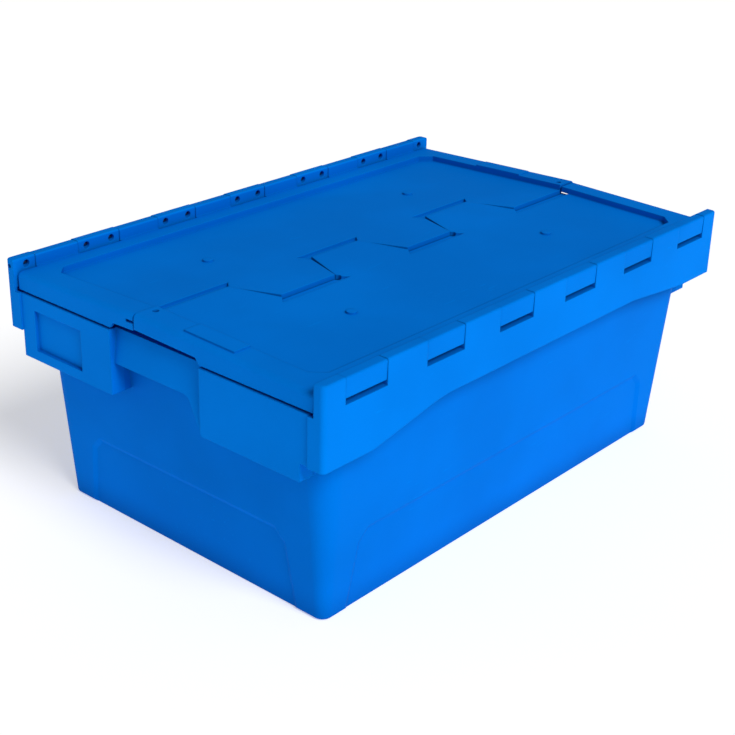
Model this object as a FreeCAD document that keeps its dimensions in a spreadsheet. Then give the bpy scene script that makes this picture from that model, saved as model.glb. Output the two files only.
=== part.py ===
"""Attached-lid storage crate: a tapered tub with two hinged half lids on steel rods.

Millimetres, +Z up, X along the long side, Y across. The origin is the middle of the
footprint at floor level. Each long flange, lid and rod is drawn at -Y and made a second
time with half a turn about Z; the end band is drawn at -X and mirrored for the other end.
"""
import FreeCAD, Part
import math
import os
import Sketcher

DIMENSIONS = {
    # overall
    "crate_length": 600,
    "crate_width": 400,
    "crate_height": 246,
    # how far a cutter runs past the face it cuts, and past a wall it removes
    "overshoot": 1,
    "clear_cut": 5,
    # tub
    "tub_half_length": 263.6,
    "tub_half_width": 168.8,
    "tub_height": 228.5,
    "tub_draft": 4.4,
    "tub_corner_radius": 10,
    "tub_wall": 4,
    "cavity_corner_radius": 7,
    "tub_floor": 3.5,
    "foot_recess": 2,
    "foot_border": 14,
    "foot_round": 3,
    # shallow panels in the four tub walls
    "panel_depth": 2.2,
    "panel_slope": 66,
    "panel_cutter": 6,
    "panel_top": 74,
    "panel_corner": 10,
    "end_panel_half_bottom": 134,
    "end_panel_half_top": 124,
    "side_panel_half_bottom": 232,
    "side_panel_half_top": 222,
    # long flanges that carry the hinges
    "flange_bottom": 170,
    "flange_far_bottom": 179,
    "flange_middle_bottom": 188,
    "flange_slope_outer": 240,
    "flange_slope_inner": 150,
    "flange_slope_round": 120,
    "flange_wall": 3,
    "flange_inner": 182.5,
    "flange_corner_round": 4.5,
    "flange_top_round": 1.8,
    "deck_top": 222.5,
    "deck_thickness": 3,
    "lip_notch_start": 292,
    "flange_rib": 2.5,
    "flange_rib_bottom": 200,
    "flange_rib_first": -200,
    "flange_rib_count": 5,
    # hinges: knuckles of tub and lid take turns along each flange
    "hinge_pitch": 100,
    "lid_knuckle_first": -250,
    "lid_knuckle_count": 6,
    "lid_knuckle_zone": 50,
    "tub_knuckle_inner": 189,
    "rod_window_radius": 3.5,
    "rod_window_offset": 15,
    "hinge_distance": 194.5,
    "hinge_height": 239.5,
    "rod_radius": 2,
    "rod_clearance": 0.05,
    "rod_end_wall": 4,
    "rod_end_play": 0.5,
    "rod_short_by": 2,
    # short-end bands
    "band_face": 298,
    "band_top": 216,
    "band_bottom": 153,
    "band_half_width": 182.5,
    "band_notch_side": 173,
    "band_wall": 3,
    "band_root": 272,
    "grip_half_width": 57,
    "grip_top_face": 289,
    "grip_slope_start": 38,
    "grip_slope_end": 59,
    "grip_bottom": 183,
    "grip_round": 12,
    "grip_cut_depth": 16,
    "label_inner": 98,
    "label_outer": 164,
    "label_bottom": 163,
    "label_top": 203,
    "label_depth": 3.5,
    "label_backing": 7,
    # lids
    "lid_end": 297,
    "lid_hinge_edge": 186.5,
    "lid_rim_top": 234.5,
    "lid_rim_thickness": 2.5,
    "lid_recess_depth": 6,
    "lid_panel_thickness": 2.5,
    "lid_block_bottom": 223.5,
    "lid_recess_half_length": 271.5,
    "lid_recess_edge": 168,
    "lid_step_wall": 3,
    "lid_recess_corner": 12,
    "lid_lip_wall": 3,
    "lid_lip_round": 5,
    "lid_rise": 1.6,
    "lip_bottom_hinge": 218,
    "lip_bottom_grip": 214.2,
    "lip_middle_bottom": 219.6,
    "lip_slope": 4,
    "seam_reach": 23.9,
    "seam_retreat": 26.1,
    "seam_slant": 9,
    "seam_side_gap": 0.7,
    "seam_first": 86,
    "seam_second": 176,
    "seam_corner_hole": 3.5,
    "ledge_width": 9,
    "ledge_depth": 2.5,
    "ledge_run_out": 40,
    "knuckle_play": 0.35,
    "knuckle_outer": 5.1,
    "knuckle_top": 6.2,
    "knuckle_inner": 6,
    "knuckle_drop": 11.8,
    "knuckle_round": 1.8,
    "stiffener_width": 3,
    "stiffener_cells": 6,
    "stiffener_edge": 4,
    "stud_radius": 5,
    "stud_height": 1.8,
    "stud_x": 148,
    "stud_y": 92,
    "seal_hole_radius": 3,
    "seal_hole_x": 279,
    "seal_hole_y": 16,
    "end_pad_outer": 290,
    "end_pad_start": 92,
    "end_pad_length": 60,
    "end_pad_height": 1.5,
}

UP = FreeCAD.Vector(0, 0, 1)
ALONG_X = FreeCAD.Vector(1, 0, 0)
ALONG_Y = FreeCAD.Vector(0, 1, 0)
AS_DRAWN = FreeCAD.Placement()
HALF_TURN = FreeCAD.Placement(FreeCAD.Vector(), FreeCAD.Rotation(UP, 180))
LEAST_CHANGE = 1
SAME = 0.01


def make_sheet(doc):
    """The driving dimensions, one aliased cell each."""
    sheet = doc.addObject("Spreadsheet::Sheet", "dims")
    for row, (name, value) in enumerate(DIMENSIONS.items(), start=1):
        sheet.set(f"A{row}", name)
        sheet.set(f"B{row}", str(value))
        sheet.setAlias(f"B{row}", name)
    doc.recompute()
    return sheet


def size(name):
    """The present value of a cell, for choosing edges and seeding sketches."""
    return float(FreeCAD.ActiveDocument.dims.get(name))


def new_body(doc, label):
    body = doc.addObject("PartDesign::Body", label)
    body.Label = label
    return body


def sketch_on(body, name, role, offset="0"):
    """A sketch on one of the body's own origin planes, moved along the plane's normal."""
    plane = next(f for f in body.Origin.OriginFeatures if f.Role == role)
    sketch = body.newObject("Sketcher::SketchObject", name)
    sketch.AttachmentSupport = [(plane, "")]
    sketch.MapMode = "FlatFace"
    sketch.setExpression("AttachmentOffset.Base.z", offset)
    return sketch


def outline(sketch, corners):
    """A closed polygon; both coordinates of every corner are expressions on the sheet."""
    numbers = [[float(sketch.evalExpression(value)) for value in corner] for corner in corners]
    vectors = [FreeCAD.Vector(x, y, 0) for x, y in numbers]
    base = sketch.GeometryCount
    count = len(corners)
    for index in range(count):
        sketch.addGeometry(Part.LineSegment(vectors[index], vectors[(index + 1) % count]))
    for index in range(count):
        following = base + (index + 1) % count
        sketch.addConstraint(Sketcher.Constraint("Coincident", base + index, 2, following, 1))
    for index, (corner, number) in enumerate(zip(corners, numbers)):
        for kind, value, start in zip(("DistanceX", "DistanceY"), corner, number):
            fixed = Sketcher.Constraint(kind, -1, 1, base + index, 1, start)
            sketch.setExpression(f"Constraints[{sketch.addConstraint(fixed)}]", value)
    return sketch


def box_outline(sketch, left, right, low, high):
    return outline(sketch, [(left, low), (right, low), (right, high), (left, high)])


def circle_outline(sketch, across, up, radius):
    """A circle whose centre and radius are expressions."""
    values = [float(sketch.evalExpression(value)) for value in (across, up, radius)]
    centre = FreeCAD.Vector(values[0], values[1], 0)
    circle = sketch.addGeometry(Part.Circle(centre, UP, values[2]))
    for kind, value, start in (("DistanceX", across, values[0]), ("DistanceY", up, values[1])):
        fixed = Sketcher.Constraint(kind, -1, 1, circle, 3, start)
        sketch.setExpression(f"Constraints[{sketch.addConstraint(fixed)}]", value)
    fixed = Sketcher.Constraint("Radius", circle, values[2])
    sketch.setExpression(f"Constraints[{sketch.addConstraint(fixed)}]", radius)
    return sketch


def rounded_box(sketch, half_x, half_y, radius):
    """A centred rectangle with four corner arcs, its sizes bound to the sheet."""
    x, y, r = [float(sketch.evalExpression(value)) for value in (half_x, half_y, radius)]
    corners = [(x - r, r - y, 270), (x - r, y - r, 0), (r - x, y - r, 90), (r - x, r - y, 180)]
    arcs = []
    for cx, cy, start in corners:
        circle = Part.Circle(FreeCAD.Vector(cx, cy, 0), UP, r)
        turn = Part.ArcOfCircle(circle, math.radians(start), math.radians(start + 90))
        arcs.append(sketch.addGeometry(turn))
    for index, arc in enumerate(arcs):
        following = arcs[(index + 1) % len(arcs)]
        start = sketch.getPoint(arc, 2)
        end = sketch.getPoint(following, 1)
        line = sketch.addGeometry(Part.LineSegment(start, end))
        sketch.addConstraint(Sketcher.Constraint("Tangent", arc, 2, line, 1))
        sketch.addConstraint(Sketcher.Constraint("Tangent", line, 2, following, 1))
    centres = (f"{half_x} - ({radius})", f"{half_y} - ({radius})")
    signs = ((1, -1), (1, 1), (-1, 1), (-1, -1))
    for arc, sign in zip(arcs, signs):
        for kind, centre, way in zip(("DistanceX", "DistanceY"), centres, sign):
            value = f"{way} * ({centre})"
            start = float(sketch.evalExpression(value))
            fixed = Sketcher.Constraint(kind, -1, 1, arc, 3, start)
            sketch.setExpression(f"Constraints[{sketch.addConstraint(fixed)}]", value)
    fixed = Sketcher.Constraint("Radius", arcs[0], r)
    sketch.setExpression(f"Constraints[{sketch.addConstraint(fixed)}]", radius)
    return sketch


def pad(body, sketch, length, backwards=False, taper=None, both_ways=False):
    """Add material from a sketch, and make sure that some was added."""
    before = body.Shape.Volume if body.Tip else 0
    feature = body.newObject("PartDesign::Pad", sketch.Name + "_pad")
    feature.Profile = sketch
    feature.Reversed = backwards
    feature.setExpression("Length", length)
    if both_ways:
        feature.SideType = "Symmetric"
    if taper:
        feature.setExpression("TaperAngle", taper)
    body.Document.recompute()
    if body.Shape.Volume < before + LEAST_CHANGE:
        raise RuntimeError(feature.Name + " added nothing")
    return feature


def pocket(body, sketch, length, backwards=False, taper=None, both_ways=False):
    """Remove material against the sketch's normal (along it if backwards), and check."""
    before = body.Shape.Volume
    feature = body.newObject("PartDesign::Pocket", sketch.Name + "_pocket")
    feature.Profile = sketch
    feature.Reversed = backwards
    feature.setExpression("Length", length)
    if both_ways:
        feature.SideType = "Symmetric"
    if taper:
        feature.setExpression("TaperAngle", taper)
    body.Document.recompute()
    if body.Shape.Volume > before - LEAST_CHANGE:
        raise RuntimeError(feature.Name + " removed nothing")
    return feature


def repeat(body, feature, sketch, axis, pitch, count):
    """A row of copies of a feature along one axis of its sketch."""
    row = body.newObject("PartDesign::LinearPattern", feature.Name + "_row")
    row.Originals = [feature]
    row.Direction = (sketch, [axis])
    row.Mode = "Spacing"
    row.setExpression("Offset", pitch)
    row.setExpression("Occurrences", count)
    body.Tip = row
    body.Document.recompute()
    return row


def round_edges(body, name, radius, chosen):
    """Round the edges of the body so far that the test picks by their position."""
    tip = body.Tip
    names = [f"Edge{n}" for n, edge in enumerate(tip.Shape.Edges, start=1) if chosen(edge)]
    feature = body.newObject("PartDesign::Fillet", name)
    feature.Base = (tip, names)
    feature.setExpression("Radius", radius)
    body.Tip = feature
    body.Document.recompute()
    return feature


def runs_along(edge, axis):
    """True for a straight edge parallel to axis 0, 1 or 2."""
    ends = [vertex.Point for vertex in edge.Vertexes]
    if len(ends) != 2 or edge.Curve.TypeId != "Part::GeomLine":
        return False
    step = ends[1] - ends[0]
    return all(abs(step[other]) < SAME for other in range(3) if other != axis)


def near(value, target):
    return abs(value - target) < SAME


# --- tub ---------------------------------------------------------------------------------


def make_tub_outside(doc):
    """The tub as a solid block: a drafted rounded rectangle with a rounded foot."""
    body = new_body(doc, "tub_outside")
    sketch = sketch_on(body, "tub_footprint", "XY_Plane")
    rounded_box(sketch, "dims.tub_half_length", "dims.tub_half_width", "dims.tub_corner_radius")
    pad(body, sketch, "dims.tub_height", taper="dims.tub_draft")
    at_floor = lambda edge: near(edge.BoundBox.ZMax, 0)
    round_edges(body, "foot_rounding", "dims.foot_round", at_floor)
    return body


def make_tub_cavity(doc):
    """What the tub is hollow by: the same drafted block, one wall smaller."""
    body = new_body(doc, "tub_cavity")
    sketch = sketch_on(body, "cavity_floor", "XY_Plane", "dims.tub_floor + dims.foot_recess")
    inset = "dims.tub_wall"
    rounded_box(sketch, f"dims.tub_half_length - {inset}", f"dims.tub_half_width - {inset}",
                "dims.cavity_corner_radius")
    pad(body, sketch, "dims.crate_height", taper="dims.tub_draft")
    return body


def make_foot_hollow(doc):
    """The shallow recess in the underside that leaves a border to stand on."""
    body = new_body(doc, "foot_hollow")
    sketch = sketch_on(body, "foot_hollow_outline", "XY_Plane")
    rounded_box(sketch, "dims.tub_half_length - dims.foot_border",
                "dims.tub_half_width - dims.foot_border", "dims.tub_corner_radius")
    pad(body, sketch, "dims.foot_recess")
    return body


def make_wall_panel(doc, label, half_face, half_bottom, half_top, quarter_turns):
    """The cutter of one wall's shallow panel, leaning with the draft of its wall.

    Drawn upright in the YZ plane as a trapezoid with cut upper corners, padded outwards so
    that its edges slope, tilted about the wall's foot line and turned to its side.
    """
    body = new_body(doc, label)
    sketch = sketch_on(body, label + "_outline", "YZ_Plane")
    low = "-dims.clear_cut"
    top = "dims.panel_top"
    corner = "dims.panel_corner"
    right = [(half_bottom, low), (half_top, f"{top} - {corner}"), (f"{half_top} - {corner}", top)]
    left = [(f"-({across})", up) for across, up in reversed(right)]
    outline(sketch, right + left)
    pad(body, sketch, "dims.panel_cutter", taper="dims.panel_slope")
    reach = size(half_face) - size("panel_depth")
    lean = FreeCAD.Placement(FreeCAD.Vector(reach, 0, 0),
                             FreeCAD.Rotation(ALONG_Y, size("tub_draft")))
    way = FreeCAD.Rotation(UP, 90 * quarter_turns)
    body.Placement = FreeCAD.Placement(FreeCAD.Vector(), way).multiply(lean)
    return body


# --- long flanges ------------------------------------------------------------------------


def make_flange(doc, label, place):
    """A long flange, drawn at -Y: skirt, end webs, deck and the tub's half of the hinge."""
    body = new_body(doc, label)
    half = "dims.crate_length / 2"
    face = "-dims.crate_width / 2"
    root = "-dims.flange_inner"

    block = sketch_on(body, "flange_block", "XY_Plane", "dims.flange_bottom")
    box_outline(block, f"-{half}", half, face, root)
    pad(body, block, "dims.crate_height - dims.flange_bottom")
    limit = -size("crate_width") / 2
    corner = lambda edge: runs_along(edge, 2) and near(edge.BoundBox.YMin, limit)
    round_edges(body, "flange_corners", "dims.flange_corner_round", corner)

    below = sketch_on(body, "flange_hollow", "XY_Plane", "dims.flange_bottom")
    box_outline(below, f"-({half} - dims.flange_wall)", f"{half} - dims.flange_wall",
                f"{face} + dims.flange_wall", f"{root} + dims.clear_cut")
    pocket(body, below, "dims.deck_top - dims.deck_thickness - dims.flange_bottom", backwards=True)
    make_room_for_lid(body, half, face, root)
    cut_flange_slope(body)
    add_flange_ribs(body)
    cut_rod_bore(body, half)
    body.Placement = place
    return body


def make_room_for_lid(body, half, face, root):
    """Cut the flange down to its knuckles: along the lid's edge, at its lips and between."""
    inner = "-dims.tub_knuckle_inner"
    beyond = f"{root} + dims.clear_cut"
    above = sketch_on(body, "hinge_space", "XY_Plane", "dims.crate_height")
    box_outline(above, f"-{half} - dims.overshoot", f"{half} + dims.overshoot", inner, beyond)
    pocket(body, above, "dims.crate_height - dims.deck_top")
    top = size("crate_height")
    rim = lambda edge: near(edge.BoundBox.ZMin, top)
    round_edges(body, "flange_top", "dims.flange_top_round", rim)

    for name, side in (("near_lip_notch", -1), ("far_lip_notch", 1)):
        notch = sketch_on(body, name, "XY_Plane", "dims.crate_height")
        box_outline(notch, f"{side} * dims.lip_notch_start", f"{side} * ({half} + dims.overshoot)",
                    inner, beyond)
        pocket(body, notch, "dims.crate_height - dims.band_top")

    left = "dims.lid_knuckle_first - dims.lid_knuckle_zone / 2"
    opening = sketch_on(body, "knuckle_opening", "XY_Plane", "dims.crate_height")
    box_outline(opening, left, f"{left} + dims.lid_knuckle_zone", f"{face} - dims.overshoot",
                f"{inner} + dims.clear_cut")
    window = pocket(body, opening, "dims.crate_height - dims.deck_top")
    repeat(body, window, opening, "H_Axis", "dims.hinge_pitch", "dims.lid_knuckle_count")


def cut_flange_slope(body):
    """The lower edge climbs from a deep near end to a level middle, then to a shorter far end."""
    sketch = sketch_on(body, "flange_slope", "XZ_Plane", "dims.crate_width / 2 + dims.overshoot")
    low = "dims.flange_bottom"
    high = "dims.flange_middle_bottom"
    far = "dims.flange_far_bottom"
    past_end = "dims.crate_length / 2 + dims.overshoot"
    below = f"{low} - dims.clear_cut"
    outline(sketch, [("-dims.flange_slope_outer", low), ("-dims.flange_slope_inner", high),
                     ("dims.flange_slope_inner", high), ("dims.flange_slope_outer", far),
                     (past_end, far), (past_end, below), ("-dims.flange_slope_outer", below)])
    pocket(body, sketch, "dims.crate_width / 2 + dims.overshoot - dims.flange_inner")
    inner = size("flange_slope_inner")
    level = size("flange_middle_bottom")
    bend = lambda edge: (runs_along(edge, 1) and near(abs(edge.BoundBox.XMin), inner)
                         and near(edge.BoundBox.ZMin, level))
    round_edges(body, "flange_bends", "dims.flange_slope_round", bend)


def add_flange_ribs(body):
    """Thin ribs under the deck that tie the skirt to the tub wall."""
    base = sketch_on(body, "flange_rib", "XY_Plane", "dims.flange_rib_bottom")
    left = "dims.flange_rib_first - dims.flange_rib / 2"
    box_outline(base, left, f"{left} + dims.flange_rib",
                "-dims.crate_width / 2 + dims.overshoot", "-dims.flange_inner")
    rib = pad(body, base, "dims.deck_top - dims.flange_rib_bottom - dims.overshoot")
    repeat(body, rib, base, "H_Axis", "dims.hinge_pitch", "dims.flange_rib_count")


def cut_rod_bore(body, half):
    """The bore along the knuckles, and round windows on to the rod from inside."""
    bore = sketch_on(body, "rod_bore", "YZ_Plane", f"{half} + dims.overshoot")
    circle_outline(bore, "-dims.hinge_distance", "dims.hinge_height",
                   "dims.rod_radius + dims.rod_clearance")
    pocket(body, bore, "dims.crate_length + dims.overshoot - dims.rod_end_wall")
    for name, shift in (("window_after", "dims.rod_window_offset"),
                        ("window_before", "dims.hinge_pitch - dims.rod_window_offset")):
        window = sketch_on(body, name, "XZ_Plane", "dims.hinge_distance")
        circle_outline(window, f"-{half} + {shift}", "dims.hinge_height", "dims.rod_window_radius")
        hole = pocket(body, window, "dims.hinge_distance - dims.tub_knuckle_inner + dims.overshoot")
        repeat(body, hole, window, "H_Axis", "dims.hinge_pitch", "dims.lid_knuckle_count")


# --- short-end bands ---------------------------------------------------------------------


def make_band(doc, label):
    """A short-end band, drawn at -X: two hollow side blocks and a set-back grip plate."""
    body = new_body(doc, label)
    face = "-dims.band_face"
    grip = "dims.grip_half_width"
    side = "dims.band_half_width"
    wall = "dims.band_wall"
    depth = "dims.band_top - dims.band_bottom"
    past_root = "-dims.band_root + dims.overshoot"

    block = sketch_on(body, "band_block", "XY_Plane", "dims.band_bottom")
    box_outline(block, face, "-dims.band_root", f"-{side}", side)
    pad(body, block, depth)

    plain = sketch_on(body, "plain_side_hollow", "XY_Plane", "dims.band_bottom")
    box_outline(plain, f"{face} + {wall}", past_root,
                f"-dims.band_notch_side + {wall}", f"-{grip} - {wall}")
    pocket(body, plain, f"{depth} - {wall}", backwards=True)
    hidden = sketch_on(body, "label_side_hollow", "XY_Plane", "dims.band_bottom")
    box_outline(hidden, f"{face} + dims.label_backing", past_root,
                f"{grip} + {wall}", f"{side} - {wall}")
    pocket(body, hidden, f"{depth} - {wall}", backwards=True)
    corner = sketch_on(body, "lower_corner", "XY_Plane", "dims.flange_bottom")
    box_outline(corner, f"{face} - dims.overshoot", past_root,
                f"-{side} - dims.overshoot", "-dims.band_notch_side")
    pocket(body, corner, "dims.flange_bottom - dims.band_bottom + dims.overshoot")

    set_back_grip(body, face, past_root)
    cut_grip_arch(body)
    frame = sketch_on(body, "label_recess", "YZ_Plane", face)
    box_outline(frame, "dims.label_inner", "dims.label_outer", "dims.label_bottom",
                "dims.label_top")
    pocket(body, frame, "dims.label_depth", backwards=True)
    return body


def set_back_grip(body, face, past_root):
    """Between the side blocks the face leans back to a thin plate to reach behind."""
    span = "2 * dims.grip_half_width"
    wall = "dims.band_wall"
    upper_face = "-dims.grip_top_face"
    over = "dims.band_top + dims.overshoot"
    middle = sketch_on(body, "grip_set_back", "XZ_Plane")
    outline(middle, [(f"{face} - dims.overshoot", over), (upper_face, over),
                     (upper_face, "dims.band_top"), (face, "dims.band_bottom"),
                     (f"{face} - dims.overshoot", "dims.band_bottom")])
    pocket(body, middle, span, both_ways=True)
    under = "dims.band_bottom - dims.overshoot"
    hollow = sketch_on(body, "grip_hollow", "XZ_Plane")
    outline(hollow, [(f"{face} + {wall}", under),
                     (f"{upper_face} + {wall}", f"dims.band_top - {wall}"),
                     (past_root, f"dims.band_top - {wall}"), (past_root, under)])
    pocket(body, hollow, span, both_ways=True)


def cut_grip_arch(body):
    """The plate's lower edge: level from the label block, then down in a soft bend."""
    sketch = sketch_on(body, "grip_arch", "YZ_Plane", "-dims.band_face - dims.overshoot")
    low = "dims.band_bottom"
    high = "dims.grip_bottom"
    below = f"{low} - dims.clear_cut"
    outline(sketch, [("-dims.grip_slope_end", low), ("-dims.grip_slope_start", high),
                     ("dims.grip_half_width", high), ("dims.grip_half_width", below),
                     ("-dims.grip_slope_end", below)])
    pocket(body, sketch, "dims.grip_cut_depth", backwards=True)
    start = -size("grip_slope_start")
    level = size("grip_bottom")
    bend = lambda edge: (runs_along(edge, 0) and near(edge.BoundBox.YMin, start)
                         and near(edge.BoundBox.ZMin, level))
    round_edges(body, "grip_bend", "dims.grip_round", bend)


def make_crate_body(doc):
    """One moulding: tub, flanges and bands joined, then hollowed and panelled."""
    left_band = make_band(doc, "left_band")
    right_band = doc.addObject("Part::Mirroring", "right_band")
    right_band.Source = left_band
    right_band.Normal = ALONG_X
    joined = doc.addObject("Part::MultiFuse", "tub_with_rim")
    joined.Shapes = [make_tub_outside(doc),
                     make_flange(doc, "front_flange", AS_DRAWN),
                     make_flange(doc, "back_flange", HALF_TURN),
                     left_band, right_band]
    cutters = [make_tub_cavity(doc), make_foot_hollow(doc)]
    for turn in (0, 2):
        cutters.append(make_wall_panel(doc, f"end_panel_{turn}", "tub_half_length",
                                       "dims.end_panel_half_bottom",
                                       "dims.end_panel_half_top", turn))
    for turn in (1, 3):
        cutters.append(make_wall_panel(doc, f"side_panel_{turn}", "tub_half_width",
                                       "dims.side_panel_half_bottom",
                                       "dims.side_panel_half_top", turn))
    hollows = doc.addObject("Part::MultiFuse", "tub_hollows")
    hollows.Shapes = cutters
    crate = doc.addObject("Part::Cut", "crate_body")
    crate.Label = "crate_body"
    crate.Base = joined
    crate.Tool = hollows
    crate.Refine = True
    doc.recompute()
    return crate


# --- lids --------------------------------------------------------------------------------


def seam_points(offset_front, offset_back):
    """The lid's toothed free edge from -X to +X: forward over teeth, back over gaps."""
    slant = "dims.seam_slant"
    crossings = [("-dims.seam_second", 1), ("-dims.seam_first", -1), ("0", 1),
                 ("dims.seam_first", -1), ("dims.seam_second", 1)]
    points = []
    for place, falls in crossings:
        before, after = (offset_front, offset_back) if falls > 0 else (offset_back, offset_front)
        middle = f"{place} - {falls} * dims.seam_side_gap"
        points.append((f"{middle} - {slant}", before))
        points.append((f"{middle} + {slant}", after))
    return points


def make_lid(doc, label, place):
    """A half lid, drawn level and hinged at -Y; its placement adds the slight rise."""
    body = new_body(doc, label)
    edge = "-dims.lid_hinge_edge"
    end = "dims.lid_end"
    front = "dims.seam_reach"
    back = "-dims.seam_retreat"
    rim_top = "dims.lid_rim_top"

    plate = sketch_on(body, "lid_block", "XY_Plane", "dims.lid_block_bottom")
    corners = [(f"-{end}", edge), (f"-{end}", front)]
    corners += seam_points(front, back)
    corners += [(end, back), (end, edge)]
    outline(plate, corners)
    pad(body, plate, f"{rim_top} - dims.lid_block_bottom")
    add_lid_lip(body, "near_lip", f"-{end}", front)
    add_lid_lip(body, "far_lip", f"{end} - dims.lid_lip_wall", back)
    round_lip(body)
    hollow_lid(body)
    add_knuckles(body)
    add_lid_details(body)

    pivot = FreeCAD.Vector(0, -size("hinge_distance"), size("hinge_height"))
    rise = FreeCAD.Rotation(ALONG_X, size("lid_rise"))
    body.Placement = place.multiply(FreeCAD.Placement(FreeCAD.Vector(), rise, pivot))
    return body


def add_lid_lip(body, name, start, seam_end):
    """The lip that hangs over a band: deep beside the grip, shallow over it."""
    sketch = sketch_on(body, name, "YZ_Plane", start)
    grip = "-dims.grip_half_width"
    middle = "dims.lip_middle_bottom"
    into_block = "dims.lid_block_bottom + dims.overshoot"
    outline(sketch, [("-dims.lid_hinge_edge", "dims.lip_bottom_hinge"),
                     (grip, "dims.lip_bottom_grip"), (f"{grip} + dims.lip_slope", middle),
                     (seam_end, middle), (seam_end, into_block),
                     ("-dims.lid_hinge_edge", into_block)])
    pad(body, sketch, "dims.lid_lip_wall")


def round_lip(body):
    """The long upper edge of each lip is rounded over."""
    limit = size("lid_end")
    top = size("lid_rim_top")
    upper = lambda edge: (runs_along(edge, 1) and near(abs(edge.BoundBox.XMin), limit)
                          and near(edge.BoundBox.ZMin, top))
    round_edges(body, "lip_rounding", "dims.lid_lip_round", upper)


def hollow_lid(body):
    """Thin the lid: recessed panel on top, free border below, cells between stiffeners."""
    edge = "-dims.lid_hinge_edge"
    recess = "dims.lid_recess_half_length"
    wall = "dims.lid_step_wall"
    past_seam = "dims.seam_reach + dims.clear_cut"
    edge_line = "-dims.lid_recess_edge"
    corner = "dims.lid_recess_corner"
    panel = sketch_on(body, "lid_recess", "XY_Plane", "dims.lid_rim_top")
    outline(panel, [(f"-{recess}", past_seam), (f"-{recess}", f"{edge_line} + {corner}"),
                    (f"-{recess} + {corner}", edge_line), (f"{recess} - {corner}", edge_line),
                    (recess, f"{edge_line} + {corner}"), (recess, past_seam)])
    pocket(body, panel, "dims.lid_recess_depth")

    border = sketch_on(body, "lid_border", "XY_Plane", "dims.lid_block_bottom")
    inside = "dims.lid_end - dims.lid_lip_wall"
    outer = f"({recess} + {wall})"
    outer_line = f"{edge_line} - {wall}"
    outer_corner = f"({corner} + {wall} / 2)"
    past_edge = f"{edge} - dims.overshoot"
    outline(border, [(f"-({inside})", past_edge), (f"-({inside})", past_seam),
                     (f"-{outer}", past_seam), (f"-{outer}", f"{outer_line} + {outer_corner}"),
                     (f"-{outer} + {outer_corner}", outer_line),
                     (f"{outer} - {outer_corner}", outer_line),
                     (outer, f"{outer_line} + {outer_corner}"), (outer, past_seam),
                     (inside, past_seam), (inside, past_edge)])
    depth = "dims.lid_rim_top - dims.lid_rim_thickness - dims.lid_block_bottom"
    pocket(body, border, depth, backwards=True)

    cell = sketch_on(body, "lid_cell", "XY_Plane", "dims.lid_block_bottom")
    pitch = f"(2 * {recess} / dims.stiffener_cells)"
    left = f"-{recess} + dims.stiffener_width"
    box_outline(cell, left, f"-{recess} + {pitch}", f"{edge_line} + {corner}",
                "-dims.seam_retreat - dims.ledge_width - dims.stiffener_edge")
    under = "dims.lid_rim_top - dims.lid_recess_depth - dims.lid_panel_thickness"
    hollow = pocket(body, cell, f"{under} - dims.lid_block_bottom", backwards=True)
    repeat(body, hollow, cell, "H_Axis", pitch, "dims.stiffener_cells")
    cut_seam_ledges(body)


def cut_seam_ledges(body):
    """Where the other lid's tooth arrives, the edge is stepped down."""
    top = "dims.lid_rim_top - dims.lid_recess_depth"
    back = "-dims.seam_retreat"
    shelf = f"{back} - dims.ledge_width"
    slant = "dims.seam_slant"
    spans = (("first", "-dims.seam_second", "-dims.seam_first"),
             ("middle", "0", "dims.seam_first"),
             ("last", "dims.seam_second", "dims.lid_recess_half_length + dims.ledge_run_out"))
    for name, start, stop in spans:
        sketch = sketch_on(body, f"ledge_{name}", "XY_Plane", top)
        outline(sketch, [(f"{start} + {slant}", f"{back} + dims.overshoot"), (start, shelf),
                         (stop, shelf), (f"{stop} - {slant}", f"{back} + dims.overshoot")])
        pocket(body, sketch, "dims.ledge_depth")


def add_knuckles(body):
    """Six blocks along the hinge that fill the openings in the flange, bored for the rod."""
    y = "-dims.hinge_distance"
    z = "dims.hinge_height"
    start = "dims.lid_knuckle_first - dims.lid_knuckle_zone / 2 + dims.knuckle_play"
    sketch = sketch_on(body, "knuckle", "YZ_Plane", start)
    outer = f"{y} - dims.knuckle_outer"
    inner = f"{y} + dims.knuckle_inner"
    top = f"{z} + dims.knuckle_top"
    foot = f"{z} - dims.knuckle_drop"
    foot_inside = f"{outer} + dims.flange_wall"
    under = "dims.lid_rim_top - dims.lid_rim_thickness"
    joint = "-dims.lid_hinge_edge + dims.overshoot"
    outline(sketch, [(outer, foot), (foot_inside, foot), (foot_inside, under), (joint, under),
                     (joint, "dims.lid_rim_top"), (inner, "dims.lid_rim_top"), (inner, top),
                     (outer, top)])
    block = pad(body, sketch, "dims.lid_knuckle_zone - 2 * dims.knuckle_play")
    repeat(body, block, sketch, "N_Axis", "dims.hinge_pitch", "dims.lid_knuckle_count")
    crest = size("hinge_height") + size("knuckle_top")
    upper = lambda edge: runs_along(edge, 0) and near(edge.BoundBox.ZMin, crest)
    round_edges(body, "knuckle_rounding", "dims.knuckle_round", upper)
    bore = sketch_on(body, "lid_rod_bore", "YZ_Plane", "-dims.crate_length / 2")
    circle_outline(bore, y, z, "dims.rod_radius + dims.rod_clearance")
    pocket(body, bore, "dims.crate_length", backwards=True)


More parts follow.
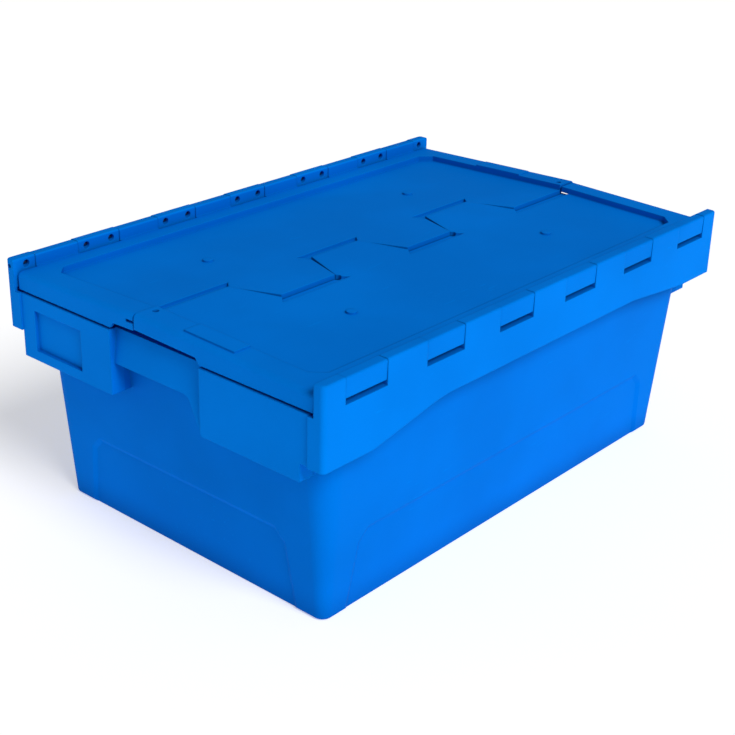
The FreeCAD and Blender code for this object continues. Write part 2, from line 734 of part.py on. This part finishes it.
def add_lid_details(body):
    """Location studs, an end pad, the seal hole and the relief holes in two seam corners."""
    panel = "dims.lid_rim_top - dims.lid_recess_depth"
    studs = sketch_on(body, "location_studs", "XY_Plane", panel)
    for side in ("-", ""):
        circle_outline(studs, f"{side}dims.stud_x", "-dims.stud_y", "dims.stud_radius")
    pad(body, studs, "dims.stud_height")
    pads = sketch_on(body, "end_pad", "XY_Plane", "dims.lid_rim_top")
    box_outline(pads, "-dims.end_pad_outer", "-dims.lid_recess_half_length",
                "-dims.end_pad_start", "-dims.end_pad_start + dims.end_pad_length")
    pad(body, pads, "dims.end_pad_height")
    hole = sketch_on(body, "seal_hole", "XY_Plane", "dims.lid_rim_top")
    circle_outline(hole, "-dims.seal_hole_x", "dims.seal_hole_y", "dims.seal_hole_radius")
    pocket(body, hole, "dims.lid_rim_thickness + dims.overshoot")
    corners = sketch_on(body, "seam_corner_holes", "XY_Plane", panel)
    for side in ("-", ""):
        circle_outline(corners, f"{side}dims.seam_first - dims.seam_slant + dims.seam_side_gap",
                       "-dims.seam_retreat", "dims.seam_corner_hole")
    pocket(body, corners, "dims.lid_rim_top - dims.lid_block_bottom")


# --- rods --------------------------------------------------------------------------------


def make_rod(doc, label, place):
    """A steel wire rod, drawn on the hinge line at -Y."""
    rod = doc.addObject("Part::Cylinder", label)
    rod.Label = label
    play = "2 * dims.rod_end_play"
    rod.setExpression("Radius", "dims.rod_radius")
    rod.setExpression("Height", f"dims.crate_length - dims.rod_end_wall - {play} - dims.rod_short_by")
    start = -size("crate_length") / 2 + size("rod_end_wall") + size("rod_end_play")
    end = FreeCAD.Vector(start, -size("hinge_distance"), size("hinge_height"))
    rod.Placement = place.multiply(FreeCAD.Placement(end, FreeCAD.Rotation(ALONG_Y, 90)))
    return rod


def check_document(doc, parts):
    """Stop on any failed feature, and on any sub-part that is not one sound solid."""
    for item in doc.Objects:
        if "Invalid" in item.State or "Error" in item.State:
            raise RuntimeError(f"{item.Label} failed: {item.State}")
    for item in parts:
        if item.Shape.isNull() or not item.Shape.isValid() or len(item.Shape.Solids) != 1:
            raise RuntimeError(f"{item.Label} is not one valid solid")


def report(item):
    """Print a sub-part's volume and extents."""
    box = item.Shape.BoundBox
    ends = (box.XMin, box.XMax, box.YMin, box.YMax, box.ZMin, box.ZMax)
    print(item.Label, "volume", round(item.Shape.Volume), [round(value, 2) for value in ends])


def main():
    doc = FreeCAD.newDocument("storage_crate")
    make_sheet(doc)
    parts = [make_crate_body(doc),
             make_lid(doc, "front_lid", AS_DRAWN),
             make_lid(doc, "back_lid", HALF_TURN),
             make_rod(doc, "front_hinge_rod", AS_DRAWN),
             make_rod(doc, "back_hinge_rod", HALF_TURN)]
    doc.recompute()
    check_document(doc, parts)
    os.makedirs("parts", exist_ok=True)
    for item in parts:
        item.Shape.exportStep(f"parts/{item.Label}.step")
        report(item)


main()
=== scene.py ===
"""An attached-lid storage crate in blue moulded plastic, on a pale floor in soft light."""
import math

import bpy
from mathutils import Matrix, Vector


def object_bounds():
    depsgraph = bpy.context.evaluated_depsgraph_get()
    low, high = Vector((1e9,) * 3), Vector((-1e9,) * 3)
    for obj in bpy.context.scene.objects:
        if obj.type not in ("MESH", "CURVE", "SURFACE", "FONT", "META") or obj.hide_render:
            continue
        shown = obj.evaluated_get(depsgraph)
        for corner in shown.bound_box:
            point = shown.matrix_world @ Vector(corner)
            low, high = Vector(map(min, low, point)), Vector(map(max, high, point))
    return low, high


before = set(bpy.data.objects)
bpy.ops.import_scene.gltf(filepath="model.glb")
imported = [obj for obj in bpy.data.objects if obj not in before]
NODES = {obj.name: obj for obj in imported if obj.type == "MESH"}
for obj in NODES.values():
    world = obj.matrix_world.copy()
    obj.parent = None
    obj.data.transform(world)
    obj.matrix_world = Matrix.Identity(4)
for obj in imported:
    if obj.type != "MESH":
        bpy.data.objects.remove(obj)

cad_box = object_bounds()
HALF_LENGTH, HALF_WIDTH = cad_box[1][:2]

# past these distances from the middle, a surface belongs to the rim
RIM_FROM_X = HALF_LENGTH - 0.017
RIM_FROM_Y = HALF_WIDTH - 0.015
RIM_BLEND = 0.001

# linear colours
# the tub walls get a darker blue and the rim a lighter one: painted shade and painted light for
# how the key light falls on them
SHADED_WALL_BLUE = (0.0, 0.19, 0.79, 1.0)
LIT_RIM_BLUE = (0.0, 0.225, 0.88, 1.0)
LID_BLUE = (0.0, 0.215, 0.85, 1.0)
SHEEN_BLUE = (0.0, 0.4, 1.0, 1.0)
FLOW_BLUE = (0.0, 0.0, 0.1, 1.0)
# painted shade: the dark blue mixed into corners
PAINTED_SHADE_BLUE = (0.0, 0.03, 0.2, 1.0)
WIRE_GREY = (0.2, 0.205, 0.21, 1.0)
DULL_WIRE_GREY = (0.14, 0.1435, 0.147, 1.0)
FLOOR_GREY = (0.86, 0.86, 0.86, 1.0)
FLOOR_WHITE = (0.9, 0.9, 0.9, 1.0)
WHITE = (1.0, 1.0, 1.0, 1.0)

# how much of the second colour each mark lets through
FLOW_SHARE = 0.12
RUBBED_SHARE = 0.16
RUBBED_EDGE_STRENGTH = 0.8
WEAR_STRENGTH = 0.5
PAINTED_SHADE_STRENGTH = 0.4
DULLING_STRENGTH = 0.6

# how fine each texture is, in repeats per metre, along X, Y and Z where there are three
GRAIN = 900.0
ORANGE_PEEL = 120.0
FLOW_MARKS = 6.0
SCUFF_STREAKS = (40.0, 260.0, 260.0)
SCUFF_ZONES = 9.0
EDGE_RUBBING = 60.0
DRAW_LINES = (12.0, 1600.0, 1600.0)
WIRE_DULLING = 45.0
FLOOR_CLOUD = 3.0

# metres: how wide a moulded edge is rounded, how far the painted corner shade reaches, and how
# deep the bumps are
EDGE_ROUND = 0.0016
PAINTED_SHADE_REACH = 0.03
PLASTIC_RELIEF = 0.00012
WIRE_RELIEF = 0.00005
SHADER_RAYS = 6

PLASTIC_ROUGHNESS = 0.42
WIRE_ROUGHNESS = 0.28
SATIN_SHEEN = {"Specular IOR Level": 0.004, "Specular Tint": SHEEN_BLUE, "IOR": 1.49}
BARE_METAL = {"Metallic": 1.0}
MATT_GLOW = {"Roughness": 0.9, "Emission Color": WHITE, "Emission Strength": 0.45}

FLOOR_HALF = 12.0
FLOOR_DROP = 0.0004

SURROUND_STRENGTH = 0.2
KEY_STRENGTH = 2.1
KEY_SPREAD = math.radians(28)
KEY_SWING = math.radians(10)
KEY_RISE = math.radians(44)

CAMERA_PLACE = (-1.0263, -0.8677, 0.7137)
CAMERA_FORWARD = (0.6896, 0.5934, -0.4152)
CAMERA_RIGHT = (0.6602, -0.7507, 0.0236)
CAMERA_LENS = 70.8
CAMERA_FILM = 36.0
CAMERA_NEAR = 0.05
CAMERA_FAR = 60.0


# --- shader maths --------------------------------------------------------------------------


class Tree:
    """Builds nodes in one material and hands back wrapped sockets."""

    def __init__(self, name):
        self.material = bpy.data.materials.new(name)
        self.material.use_nodes = True
        self.nodes = self.material.node_tree.nodes
        self.links = self.material.node_tree.links
        self.nodes.clear()

    def add(self, kind, settings=None, output=0, **inputs):
        """One node: its settings first, then each socket's value or link."""
        node = self.nodes.new("ShaderNode" + kind)
        for name, value in (settings or {}).items():
            setattr(node, name, value)
        for name, value in inputs.items():
            place = int(name[1:]) if name[0] == "_" else name.replace("_", " ")
            self.feed(node.inputs[place], value)
        return Socket(self, node.outputs[output]) if node.outputs else None

    def feed(self, socket, value):
        if isinstance(value, Socket):
            self.links.new(value.end, socket)
        else:
            socket.default_value = value

    def maths(self, operation, *values):
        places = {f"_{index}": value for index, value in enumerate(values)}
        return self.add("Math", {"operation": operation}, **places)


class Socket:
    """A number coming out of a node; arithmetic on it adds Math nodes."""

    def __init__(self, tree, end):
        self.tree = tree
        self.end = end

    def __add__(self, other):
        return self.tree.maths("ADD", self, other)

    def __sub__(self, other):
        return self.tree.maths("SUBTRACT", self, other)

    def __rsub__(self, other):
        return self.tree.maths("SUBTRACT", other, self)

    def __mul__(self, other):
        return self.tree.maths("MULTIPLY", self, other)

    __radd__ = __add__
    __rmul__ = __mul__


def step_up(value, low, high):
    """0 below low, 1 above high, and a smooth rise between."""
    settings = {"interpolation_type": "SMOOTHSTEP"}
    return value.tree.add("MapRange", settings, Value=value, From_Min=low, From_Max=high)


def mixed_colour(tree, share, plain, tinted):
    settings = {"data_type": "RGBA"}
    return tree.add("Mix", settings, output=2, _0=share, _6=plain, _7=tinted)


def noise(tree, place, scale, detail=2.0, roughness=0.5):
    return tree.add("TexNoise", Vector=place, Scale=scale, Detail=detail, Roughness=roughness)


def finished(tree, uniform, **varying):
    """The material: one shader, fed with what varies and set to what is uniform."""
    shader = tree.add("BsdfPrincipled", **varying)
    for name, value in uniform.items():
        shader.end.node.inputs[name].default_value = value
    tree.add("OutputMaterial", Surface=shader)
    return tree.material


# --- finishes ------------------------------------------------------------------------------


def outside_tub_walls(tree, place):
    """1 on the rim, which stands out past the tub walls and is painted lighter as painted light,
    and 0 on the walls.
    """
    along = tree.add("SeparateXYZ", Vector=place)
    across = tree.add("SeparateXYZ", output=1, Vector=place)
    past_end = tree.maths("ABSOLUTE", along) - RIM_FROM_X
    past_side = tree.maths("ABSOLUTE", across) - RIM_FROM_Y
    return step_up(tree.maths("MAXIMUM", past_end, past_side), 0.0, RIM_BLEND)


def softened_edges(tree):
    """The rounded normal near an edge, and how far it turns from the flat one."""
    rounded = tree.add("Bevel", {"samples": SHADER_RAYS}, Radius=EDGE_ROUND)
    flat = tree.add("NewGeometry", output=1)
    settings = {"operation": "DOT_PRODUCT"}
    match = tree.add("VectorMath", settings, output=1, _0=rounded, _1=flat)
    return rounded, 1 - match


def painted_corner_shade(tree):
    """1 deep in a corner, where shade is painted into the colour, and 0 in the open."""
    settings = {"samples": SHADER_RAYS}
    open_air = tree.add("AmbientOcclusion", settings, output=1, Distance=PAINTED_SHADE_REACH)
    return 1 - step_up(open_air, 0.35, 1.0)


def scuffed(tree, place):
    """1 along fine lengthwise scuffs, which come in patches, and 0 elsewhere."""
    stretched = tree.add("Mapping", Vector=place, Scale=SCUFF_STREAKS)
    scuffs = step_up(noise(tree, stretched, 1.0), 0.66, 0.72)
    return scuffs * step_up(noise(tree, place, SCUFF_ZONES, 1.0), 0.52, 0.66)


def moulded_plastic(name, shaded_wall_blue, lit_rim_blue):
    """Satin polypropylene: spark-eroded grain, faint flow marks, rubbed edges, fine scuffs; the
    rim is painted lighter than the walls as painted light, and corners darker as painted shade.
    """
    tree = Tree(name)
    place = tree.add("TexCoord", output=3)
    # painted light: the rim is coloured lighter than the tub walls
    blue = mixed_colour(tree, outside_tub_walls(tree, place), shaded_wall_blue, lit_rim_blue)
    grain = noise(tree, place, GRAIN, 3.0, 0.6)
    orange_peel = noise(tree, place, ORANGE_PEEL)
    flow = noise(tree, place, FLOW_MARKS, 3.0, 0.55)
    wear = scuffed(tree, place)
    rounded, turn = softened_edges(tree)
    patches = step_up(noise(tree, place, EDGE_RUBBING), 0.35, 0.65)
    rubbed_edge = step_up(turn, 0.02, 0.25) * patches

    deeper = mixed_colour(tree, FLOW_SHARE, blue, FLOW_BLUE)
    paler = mixed_colour(tree, RUBBED_SHARE, blue, SHEEN_BLUE)
    colour = mixed_colour(tree, step_up(flow, 0.3, 0.7), deeper, blue)
    rubbed = rubbed_edge * RUBBED_EDGE_STRENGTH + wear * WEAR_STRENGTH
    colour = mixed_colour(tree, rubbed, colour, paler)
    # painted shade: corners darkened by ambient occlusion
    painted_shade = painted_corner_shade(tree) * PAINTED_SHADE_STRENGTH
    colour = mixed_colour(tree, painted_shade, colour, PAINTED_SHADE_BLUE)

    roughness = PLASTIC_ROUGHNESS + (grain - 0.5) * 0.12 + wear * 0.12 + (flow - 0.5) * 0.08
    bumps = grain * 0.35 + orange_peel * 1.4 + wear * -0.5
    normal = tree.add("Bump", Strength=0.35, Distance=PLASTIC_RELIEF, Height=bumps, Normal=rounded)
    return finished(tree, SATIN_SHEEN, Base_Color=colour, Roughness=roughness, Normal=normal)


def drawn_wire(name):
    """Zinc-plated drawn wire: fine lengthwise draw lines along X and slight dulling."""
    tree = Tree(name)
    place = tree.add("TexCoord", output=3)
    stretched = tree.add("Mapping", Vector=place, Scale=DRAW_LINES)
    lines = noise(tree, stretched, 1.0, 3.0, 0.6)
    dulling = noise(tree, place, WIRE_DULLING, 3.0)
    dulled = step_up(dulling, 0.4, 0.7) * DULLING_STRENGTH
    colour = mixed_colour(tree, dulled, WIRE_GREY, DULL_WIRE_GREY)
    roughness = WIRE_ROUGHNESS + lines * 0.14 + dulling * 0.12
    normal = tree.add("Bump", Strength=0.3, Distance=WIRE_RELIEF, Height=lines)
    return finished(tree, BARE_METAL, Base_Color=colour, Roughness=roughness, Normal=normal)


def pale_floor():
    """Matt near-white studio floor with a slight glow, so that shadows on it stay light."""
    tree = Tree("studio_floor")
    place = tree.add("TexCoord", output=3)
    colour = mixed_colour(tree, noise(tree, place, FLOOR_CLOUD), FLOOR_GREY, FLOOR_WHITE)
    return finished(tree, MATT_GLOW, Base_Color=colour)


# --- pieces --------------------------------------------------------------------------------


def finish_with(material, *names):
    for name in names:
        surfaces = NODES[name].data.materials
        surfaces.clear()
        surfaces.append(material)


def dress_crate():
    """Every CAD piece keeps its shape and gets its finish."""
    finish_with(moulded_plastic("tub_blue_plastic", SHADED_WALL_BLUE, LIT_RIM_BLUE), "crate_body")
    finish_with(moulded_plastic("lid_blue_plastic", LID_BLUE, LID_BLUE), "front_lid", "back_lid")
    finish_with(drawn_wire("hinge_wire_steel"), "front_hinge_rod", "back_hinge_rod")


# --- studio --------------------------------------------------------------------------------


def make_floor():
    """A wide flat sheet just under the crate's foot."""
    turns = ((-1, -1), (1, -1), (1, 1), (-1, 1))
    corners = [(x * FLOOR_HALF, y * FLOOR_HALF, -FLOOR_DROP) for x, y in turns]
    mesh = bpy.data.meshes.new("floor")
    mesh.from_pydata(corners, [], [(0, 1, 2, 3)])
    floor = bpy.data.objects.new("floor", mesh)
    bpy.context.scene.collection.objects.link(floor)
    floor.data.materials.append(pale_floor())


def light_surround():
    """A dim white world."""
    world = bpy.data.worlds.new("studio_white")
    bpy.context.scene.world = world
    world.use_nodes = True
    background = world.node_tree.nodes["Background"]
    background.inputs["Color"].default_value = WHITE
    background.inputs["Strength"].default_value = SURROUND_STRENGTH


def light_key():
    """One broad soft key from the front, high and a little left."""
    lamp = bpy.data.lights.new("soft_key", "SUN")
    lamp.energy = KEY_STRENGTH
    lamp.angle = KEY_SPREAD
    key = bpy.data.objects.new("soft_key", lamp)
    bpy.context.scene.collection.objects.link(key)
    level = math.cos(KEY_RISE)
    key.location = (-math.sin(KEY_SWING) * level, -math.cos(KEY_SWING) * level, math.sin(KEY_RISE))
    key.rotation_euler = (-key.location).to_track_quat("-Z", "Y").to_euler()


def make_camera():
    """A long lens just under a metre and a half from the crate, facing its near corner."""
    data = bpy.data.cameras.new("camera")
    data.sensor_width = CAMERA_FILM
    data.lens = CAMERA_LENS
    data.clip_start = CAMERA_NEAR
    data.clip_end = CAMERA_FAR
    camera = bpy.data.objects.new("camera", data)
    bpy.context.scene.collection.objects.link(camera)
    forward = Vector(CAMERA_FORWARD).normalized()
    up = Vector(CAMERA_RIGHT).normalized().cross(forward).normalized()
    right = forward.cross(up).normalized()
    turn = Matrix((right, up, -forward)).transposed()
    camera.matrix_world = Matrix.Translation(CAMERA_PLACE) @ turn.to_4x4()
    bpy.context.scene.camera = camera


bpy.context.scene.view_settings.view_transform = "Standard"
dress_crate()
make_floor()
light_surround()
light_key()
make_camera()
